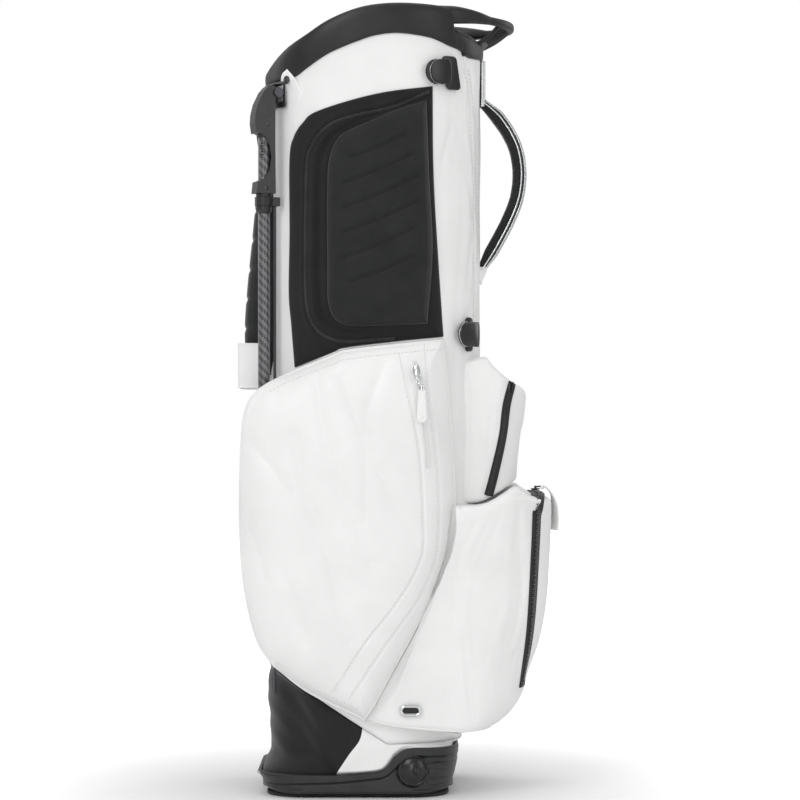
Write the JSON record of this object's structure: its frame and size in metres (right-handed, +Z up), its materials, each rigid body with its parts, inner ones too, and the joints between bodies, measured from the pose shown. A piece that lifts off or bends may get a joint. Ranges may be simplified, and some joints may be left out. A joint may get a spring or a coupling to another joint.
{
  "type": "golf stand bag",
  "caption": "Light golf bag with fold-out legs, tilting base, moulded top collar with grab loop, side, front and ball pockets, carry handle and strap clips.",
  "frame": {"origin": "on the ground under the middle of the base", "axes": "+Z up, +X towards the spine with the carry handle and ball pocket, the legs on the -X side, -Y the right side"},
  "size_m": [0.3685, 0.284, 0.8998],
  "materials": {
    "white_leather": "smooth matt synthetic leather",
    "moulded_foam": "heat-moulded fabric over foam",
    "black_fabric": "matt knit",
    "black_rubber": "soft-touch satin",
    "dark_plastic": "fine moulded grain",
    "black_plastic": "semi-gloss",
    "carbon_tube": "clear-coated twill",
    "spring_steel": "dark oxide",
    "chrome_trim": "polished",
    "black_zip": "moulded teeth on woven tape",
    "foam": "closed-cell foam"
  },
  "bodies": {
    "bag_body": {"ball_pocket": "white_leather", "ball_zip": "black_zip", "club_dividers": "black_fabric", "hip_pad": "white_leather", "left_apparel_pocket": "white_leather", "left_apparel_zip": "white_leather", "left_leg_pin": "chrome_trim", "left_lower_clip_plate": "black_plastic", "left_moulded_pad": "moulded_foam", "left_side_stay": "spring_steel", "left_upper_clip_plate": "black_plastic", "left_upper_panel": "black_fabric", "left_valuables_zip": "black_zip", "leg_hinge_housing": "dark_plastic", "leg_strap_band": "white_leather", "lower_handle_anchor": "black_plastic", "lower_skirt": "black_fabric", "main_tube": "white_leather", "right_apparel_pocket": "white_leather", "right_apparel_zip": "white_leather", "right_eyelet": "chrome_trim", "right_leg_pin": "chrome_trim", "right_lower_clip_plate": "black_plastic", "right_moulded_pad": "moulded_foam", "right_side_stay": "spring_steel", "right_upper_clip_plate": "black_plastic", "right_upper_panel": "black_fabric", "right_valuables_zip": "black_zip", "top_collar": "black_rubber", "upper_handle_anchor": "black_plastic", "valuables_pocket": "white_leather"},
    "base": {"base_boot": "dark_plastic", "sole_pad": "black_rubber", "club_rest_pad": "foam", "right_pivot_cap": "black_plastic", "left_pivot_cap": "black_plastic"},
    "handle": {"carry_handle": "black_rubber"},
    "ball_slider": {"ball_zip_slider": "black_zip"},
    "ball_pull": {"ball_zip_pull": "white_leather"},
    "right_leg": {"right_leg_casing": "dark_plastic", "right_leg_tube": "carbon_tube", "right_rod_collar": "dark_plastic", "right_leg_foot": "black_rubber"},
    "right_rod": {"right_actuator_rod": "spring_steel"},
    "right_side_slider": {"right_apparel_slider": "chrome_trim"},
    "right_side_pull": {"right_apparel_pull": "white_leather"},
    "right_front_slider": {"right_valuables_slider": "black_zip"},
    "right_upper_clip": {"right_upper_clip_puck": "black_plastic"},
    "right_lower_clip": {"right_lower_clip_puck": "black_plastic"},
    "left_leg": {"left_leg_casing": "dark_plastic", "left_leg_tube": "carbon_tube", "left_rod_collar": "dark_plastic", "left_leg_foot": "black_rubber"},
    "left_rod": {"left_actuator_rod": "spring_steel"},
    "left_side_slider": {"left_apparel_slider": "chrome_trim"},
    "left_side_pull": {"left_apparel_pull": "white_leather"},
    "left_front_slider": {"left_valuables_slider": "black_zip"},
    "left_upper_clip": {"left_upper_clip_puck": "black_plastic"},
    "left_lower_clip": {"left_lower_clip_puck": "black_plastic"}
  },
  "joints": [
    {"name": "base_tilt", "type": "hinge", "parent": "bag_body", "child": "base", "pos_m": [0.062, 0, 0.032], "axis": [0, 1, 0], "range_deg": [0, 32], "stiffness_Nm_per_rad": 2, "springref_deg": -85.94, "deforming": ["lower_skirt"]},
    {"name": "right_leg_swing", "type": "hinge", "parent": "bag_body", "child": "right_leg", "pos_m": [-0.095, -0.07, 0.801], "axis": [-0.3746, 0.9272, 0], "range_deg": [0, 38.1]},
    {"name": "right_rod_swing", "type": "hinge", "parent": "right_leg", "child": "right_rod", "pos_m": [-0.09593, -0.07037, 0.677], "axis": [-0.3746, 0.9272, 0], "range_deg": [-46.6, 0]},
    {"name": "left_leg_swing", "type": "hinge", "parent": "bag_body", "child": "left_leg", "pos_m": [-0.095, 0.07, 0.801], "axis": [0.3746, 0.9272, 0], "range_deg": [0, 38.1]},
    {"name": "left_rod_swing", "type": "hinge", "parent": "left_leg", "child": "left_rod", "pos_m": [-0.09593, 0.07037, 0.677], "axis": [0.3746, 0.9272, 0], "range_deg": [-46.6, 0]},
    {"name": "handle_swing", "type": "hinge", "parent": "bag_body", "child": "handle", "pos_m": [0.151, 0, 0.7], "axis": [0, 0, 1], "range_deg": [-20, 20]},
    {"name": "right_upper_clip_swivel", "type": "hinge", "parent": "bag_body", "child": "right_upper_clip", "pos_m": [0.09071, -0.10461, 0.822], "axis": [0.4658, -0.8849, 0], "range_deg": [-90, 90]},
    {"name": "left_upper_clip_swivel", "type": "hinge", "parent": "bag_body", "child": "left_upper_clip", "pos_m": [0.09071, 0.10461, 0.822], "axis": [0.4658, 0.8849, 0], "range_deg": [-90, 90]},
    {"name": "right_lower_clip_swivel", "type": "hinge", "parent": "bag_body", "child": "right_lower_clip", "pos_m": [0.12633, -0.07565, 0.526], "axis": [0.7748, -0.6322, 0], "range_deg": [-90, 90]},
    {"name": "left_lower_clip_swivel", "type": "hinge", "parent": "bag_body", "child": "left_lower_clip", "pos_m": [0.12633, 0.07565, 0.526], "axis": [0.7748, 0.6322, 0], "range_deg": [-90, 90]},
    {"name": "right_side_zip_slide", "type": "slide", "parent": "bag_body", "child": "right_side_slider", "axis": [0.1135, 0, -0.9935], "range_m": [0, 0.085]},
    {"name": "right_side_pull_swing", "type": "hinge", "parent": "right_side_slider", "child": "right_side_pull", "pos_m": [0.068, -0.13875, 0.4659], "axis": [-1, 0, 0], "range_deg": [0, 100]},
    {"name": "right_front_zip_slide", "type": "slide", "parent": "bag_body", "child": "right_front_slider", "axis": [-0.16, -0.11, -0.981], "range_m": [0, 0.05]},
    {"name": "left_side_zip_slide", "type": "slide", "parent": "bag_body", "child": "left_side_slider", "axis": [0.1135, 0, -0.9935], "range_m": [0, 0.085]},
    {"name": "left_side_pull_swing", "type": "hinge", "parent": "left_side_slider", "child": "left_side_pull", "pos_m": [0.068, 0.13875, 0.4659], "axis": [1, 0, 0], "range_deg": [0, 100]},
    {"name": "left_front_zip_slide", "type": "slide", "parent": "bag_body", "child": "left_front_slider", "axis": [-0.16, 0.11, -0.981], "range_m": [0, 0.05]},
    {"name": "ball_zip_slide", "type": "slide", "parent": "bag_body", "child": "ball_slider", "axis": [0, 1, 0], "range_m": [-0.04, 0.04]},
    {"name": "ball_pull_swing", "type": "hinge", "parent": "ball_slider", "child": "ball_pull", "pos_m": [0.2128, 0, 0.3477], "axis": [0, -1, 0], "range_deg": [0, 90]}
  ],
  "couplings": [
    {"joint": "right_leg_swing", "follows": "base_tilt", "ratio": 1.1875},
    {"joint": "right_rod_swing", "follows": "base_tilt", "ratio": -1.4531},
    {"joint": "left_leg_swing", "follows": "base_tilt", "ratio": 1.1875},
    {"joint": "left_rod_swing", "follows": "base_tilt", "ratio": -1.4531}
  ]
}
